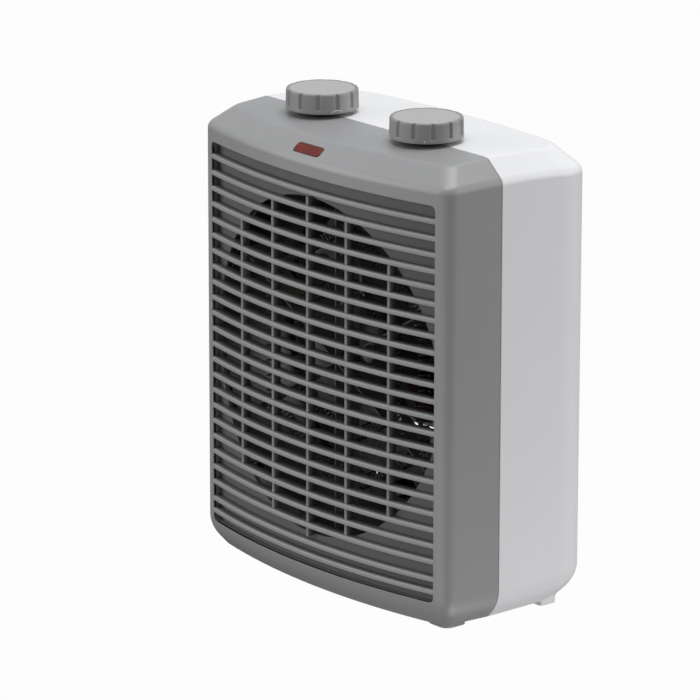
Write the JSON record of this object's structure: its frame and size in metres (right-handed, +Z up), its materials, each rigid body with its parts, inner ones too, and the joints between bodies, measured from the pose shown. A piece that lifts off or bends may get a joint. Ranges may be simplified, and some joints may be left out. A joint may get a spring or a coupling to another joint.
{
  "type": "fan convector heater",
  "caption": "Upright two-part fan heater with a slatted bowed front outlet, fluted control knobs on top, wire element and axial fan.",
  "frame": {"origin": "on the ground, under the middle of the case", "axes": "+X to the right as seen from the front, +Y to the rear, +Z up; the outlet faces -Y"},
  "size_m": [0.22, 0.135, 0.28],
  "materials": {
    "grey_plastic": "fine matt grain, mid grey",
    "white_plastic": "fine satin grain, white",
    "knob_plastic": "satin, mid grey, moulded flutes",
    "black_plastic": "matt black",
    "red_lens": "ribbed translucent red",
    "clear_glass": "clear",
    "galvanised_steel": "rolled zinc-coated sheet",
    "zinc_steel": "zinc plated",
    "mica": "pressed mica board",
    "nichrome": "oxidised resistance wire",
    "core_steel": "stacked laminations",
    "copper": "enamelled copper winding",
    "brass": "plain",
    "nylon": "natural nylon"
  },
  "bodies": {
    "case": {"front_cover": "grey_plastic", "rear_housing": "white_plastic", "selector_collar": "black_plastic", "thermostat_collar": "black_plastic", "control_bracket": "galvanised_steel", "selector_switch": "black_plastic", "thermostat_body": "nylon", "bimetal_blade": "brass", "left_bracket_screw": "zinc_steel", "right_bracket_screw": "zinc_steel", "indicator_lens": "red_lens", "neon_lamp": "clear_glass", "fan_shroud": "galvanised_steel", "mica_frame": "mica", "inner_coil": "nichrome", "outer_coil": "nichrome", "thermal_fuse": "zinc_steel", "thermal_cutout": "zinc_steel", "motor_core": "core_steel", "motor_coil": "copper", "front_bearing_bracket": "zinc_steel", "rear_bearing_bracket": "zinc_steel", "front_bearing_bush": "brass", "rear_bearing_bush": "brass", "motor_strap": "galvanised_steel", "left_motor_screw": "zinc_steel", "right_motor_screw": "zinc_steel", "left_motor_spacer": "zinc_steel", "right_motor_spacer": "zinc_steel", "left_strap_screw": "zinc_steel", "right_strap_screw": "zinc_steel", "cord_bush": "black_plastic", "cord_clamp": "nylon", "left_clamp_screw": "zinc_steel", "right_clamp_screw": "zinc_steel", "terminal_block": "nylon", "lower_left_case_screw": "zinc_steel", "lower_right_case_screw": "zinc_steel", "upper_left_case_screw": "zinc_steel", "upper_right_case_screw": "zinc_steel", "lower_left_shroud_screw": "zinc_steel", "lower_right_shroud_screw": "zinc_steel", "upper_left_shroud_screw": "zinc_steel", "upper_right_shroud_screw": "zinc_steel"},
    "selector_dial": {"selector_knob": "knob_plastic", "selector_shaft": "brass"},
    "thermostat_dial": {"thermostat_knob": "knob_plastic", "thermostat_shaft": "brass"},
    "fan": {"fan_impeller": "black_plastic", "fan_clip": "zinc_steel", "fan_shaft": "zinc_steel", "motor_rotor": "core_steel"}
  },
  "joints": [
    {"name": "selector_turn", "type": "hinge", "parent": "case", "child": "selector_dial", "pos_m": [0.0457, -0.0175, 0.2686], "axis": [0, 0, -1], "range_deg": [0, 270]},
    {"name": "thermostat_turn", "type": "hinge", "parent": "case", "child": "thermostat_dial", "pos_m": [-0.0457, -0.0175, 0.2686], "axis": [0, 0, -1], "range_deg": [0, 280]},
    {"name": "fan_spin", "type": "hinge", "parent": "case", "child": "fan", "pos_m": [0, -0.0175, 0.1339], "axis": [0, 1, 0], "continuous": true}
  ]
}
